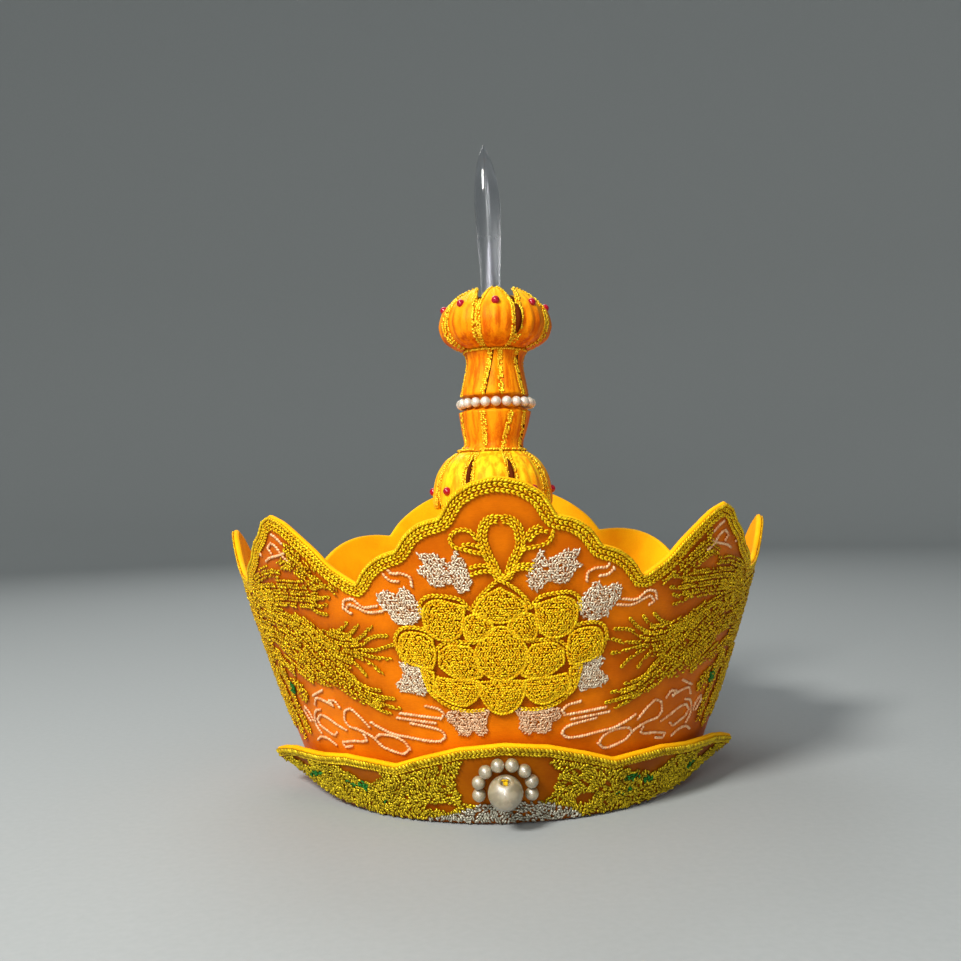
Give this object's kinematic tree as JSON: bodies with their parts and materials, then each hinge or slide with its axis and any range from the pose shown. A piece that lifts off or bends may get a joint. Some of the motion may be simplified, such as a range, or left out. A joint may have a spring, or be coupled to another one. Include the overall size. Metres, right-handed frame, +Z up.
{
  "type": "five buddha crown",
  "caption": "Ceremonial headdress: flared ring of scalloped, embroidered cloth leaves, turned-up front flap, cap dome, and a lotus finial with a clear spike.",
  "frame": {"origin": "centre of the bounding box's base, on the table under the crown", "axes": "+Z up along the finial; -Y towards the front, where the flap and its pearls are; +X to the right of a person who faces the front"},
  "size_m": [0.2558, 0.2762, 0.3006],
  "materials": {
    "lining_cloth": "matt golden yellow cloth",
    "embroidered_satin": "orange satin with gold and silver thread",
    "gold_braid": "chain-stitched metallic cord",
    "cap_cloth": "matt golden yellow cloth",
    "petal_cloth": "padded satin with gold cord and crimson beads",
    "neck_cloth": "padded satin with gold cord",
    "pearl": "pearly lustre",
    "clear_rod": "polished and clear",
    "pin_steel": "drawn wire"
  },
  "bodies": {
    "root": {"cap_dome": "cap_cloth", "finial_pin": "pin_steel", "flap_braid": "gold_braid", "flap_lining": "lining_cloth", "flap_panel": "embroidered_satin", "flap_pearl_1": "pearl", "flap_pearl_2": "pearl", "flap_pearl_3": "pearl", "flap_pearl_4": "pearl", "flap_pearl_5": "pearl", "flap_pearl_6": "pearl", "flap_pearl_7": "pearl", "flap_pearl_8": "pearl", "flap_pearl_big": "pearl", "lotus_lower_petal_1": "petal_cloth", "lotus_lower_petal_2": "petal_cloth", "lotus_lower_petal_3": "petal_cloth", "lotus_lower_petal_4": "petal_cloth", "lotus_lower_petal_5": "petal_cloth", "lotus_lower_petal_6": "petal_cloth", "lotus_lower_petal_7": "petal_cloth", "lotus_lower_petal_8": "petal_cloth", "lotus_upper_petal_1": "petal_cloth", "lotus_upper_petal_2": "petal_cloth", "lotus_upper_petal_3": "petal_cloth", "lotus_upper_petal_4": "petal_cloth", "lotus_upper_petal_5": "petal_cloth", "lotus_upper_petal_6": "petal_cloth", "lotus_upper_petal_7": "petal_cloth", "lotus_upper_petal_8": "petal_cloth", "neck_lower": "neck_cloth", "neck_upper": "neck_cloth", "ring_pearl_1": "pearl", "ring_pearl_10": "pearl", "ring_pearl_11": "pearl", "ring_pearl_12": "pearl", "ring_pearl_13": "pearl", "ring_pearl_14": "pearl", "ring_pearl_15": "pearl", "ring_pearl_16": "pearl", "ring_pearl_17": "pearl", "ring_pearl_18": "pearl", "ring_pearl_19": "pearl", "ring_pearl_2": "pearl", "ring_pearl_20": "pearl", "ring_pearl_21": "pearl", "ring_pearl_3": "pearl", "ring_pearl_4": "pearl", "ring_pearl_5": "pearl", "ring_pearl_6": "pearl", "ring_pearl_7": "pearl", "ring_pearl_8": "pearl", "ring_pearl_9": "pearl", "spike": "clear_rod", "wall_braid": "gold_braid", "wall_lining": "lining_cloth", "wall_panel": "embroidered_satin"}
  },
  "joints": []
}
